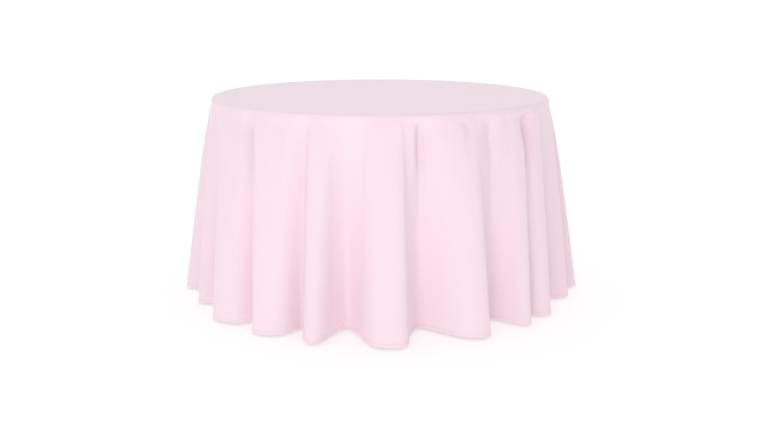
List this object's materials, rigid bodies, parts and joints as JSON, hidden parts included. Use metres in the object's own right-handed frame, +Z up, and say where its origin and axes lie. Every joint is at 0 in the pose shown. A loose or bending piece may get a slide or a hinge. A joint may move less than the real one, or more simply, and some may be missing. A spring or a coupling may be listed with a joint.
{
  "type": "tablecloth on a round folding table",
  "caption": "Floor-length round pink tablecloth hanging in deep folds over a round folding table with steel leg frames that fold flat under the top.",
  "frame": {"origin": "on the floor under the centre of the round tabletop", "axes": "+Z up, +X to the right seen from the front, -Y towards the front"},
  "size_m": [1.6584, 1.6636, 0.7635],
  "materials": {
    "plywood": "clear-sealed plywood, satin",
    "edge_vinyl": "brown vinyl edge band",
    "runner_wood": "planed softwood",
    "zinc_plate": "zinc-plated pressed steel",
    "rivet_steel": "bright steel",
    "stay_steel": "zinc-plated flat bar",
    "frame_paint": "grey hammered powder coat",
    "foot_plastic": "black moulded plastic",
    "cloth_fabric": "pale pink polyester, smooth plain weave, soft sheen",
    "cloth_hem_fabric": "the same fabric turned under twice and stitched"
  },
  "bodies": {
    "table": {"tabletop_panel": "plywood", "edge_band": "edge_vinyl", "left_runner": "runner_wood", "right_runner": "runner_wood", "left_front_bracket": "zinc_plate", "left_rear_bracket": "zinc_plate", "right_front_bracket": "zinc_plate", "right_rear_bracket": "zinc_plate", "left_stay_anchor": "zinc_plate", "right_stay_anchor": "zinc_plate", "left_anchor_pin": "rivet_steel", "right_anchor_pin": "rivet_steel", "mounting_screws": "rivet_steel"},
    "cloth": {"cloth_top": "cloth_fabric", "cloth_drape": "cloth_fabric", "cloth_hem": "cloth_hem_fabric"},
    "left_frame": {"left_pivot_tube": "frame_paint", "left_front_leg": "frame_paint", "left_rear_leg": "frame_paint", "left_cross_bar": "frame_paint", "left_stay_lug": "zinc_plate", "left_lug_pin": "rivet_steel", "left_front_foot": "foot_plastic", "left_rear_foot": "foot_plastic"},
    "left_upper_stay": {"left_upper_stay": "stay_steel", "left_knee_cap": "rivet_steel"},
    "left_lower_stay": {"left_lower_stay": "stay_steel", "left_knee_rivet": "rivet_steel"},
    "right_frame": {"right_pivot_tube": "frame_paint", "right_front_leg": "frame_paint", "right_rear_leg": "frame_paint", "right_cross_bar": "frame_paint", "right_stay_lug": "zinc_plate", "right_lug_pin": "rivet_steel", "right_front_foot": "foot_plastic", "right_rear_foot": "foot_plastic"},
    "right_upper_stay": {"right_upper_stay": "stay_steel", "right_knee_cap": "rivet_steel"},
    "right_lower_stay": {"right_lower_stay": "stay_steel", "right_knee_rivet": "rivet_steel"}
  },
  "joints": [
    {"name": "cloth_lift", "type": "slide", "parent": "table", "child": "cloth", "axis": [0, 0, 1], "range_m": [0, 0.8]},
    {"name": "left_leg_fold", "type": "hinge", "parent": "table", "child": "left_frame", "pos_m": [-0.43, 0, 0.707], "axis": [0, -1, 0], "range_deg": [0, 93]},
    {"name": "left_upper_stay_swing", "type": "hinge", "parent": "table", "child": "left_upper_stay", "pos_m": [-0.21, 0, 0.729], "axis": [0, -1, 0], "range_deg": [-46.92, 0]},
    {"name": "left_lower_stay_swing", "type": "hinge", "parent": "left_frame", "child": "left_lower_stay", "pos_m": [-0.4185, 0, 0.50612], "axis": [0, -1, 0], "range_deg": [0, 40.1]},
    {"name": "right_leg_fold", "type": "hinge", "parent": "table", "child": "right_frame", "pos_m": [0.43, 0, 0.675], "axis": [0, 1, 0], "range_deg": [0, 93]},
    {"name": "right_upper_stay_swing", "type": "hinge", "parent": "table", "child": "right_upper_stay", "pos_m": [0.21, 0, 0.697], "axis": [0, 1, 0], "range_deg": [-46.92, 0]},
    {"name": "right_lower_stay_swing", "type": "hinge", "parent": "right_frame", "child": "right_lower_stay", "pos_m": [0.4185, 0, 0.47412], "axis": [0, 1, 0], "range_deg": [0, 40.1]}
  ],
  "couplings": [
    {"joint": "left_upper_stay_swing", "follows": "left_leg_fold", "ratio": -0.5044},
    {"joint": "left_lower_stay_swing", "follows": "left_leg_fold", "ratio": 0.43108},
    {"joint": "right_upper_stay_swing", "follows": "right_leg_fold", "ratio": -0.5044},
    {"joint": "right_lower_stay_swing", "follows": "right_leg_fold", "ratio": 0.43108}
  ]
}
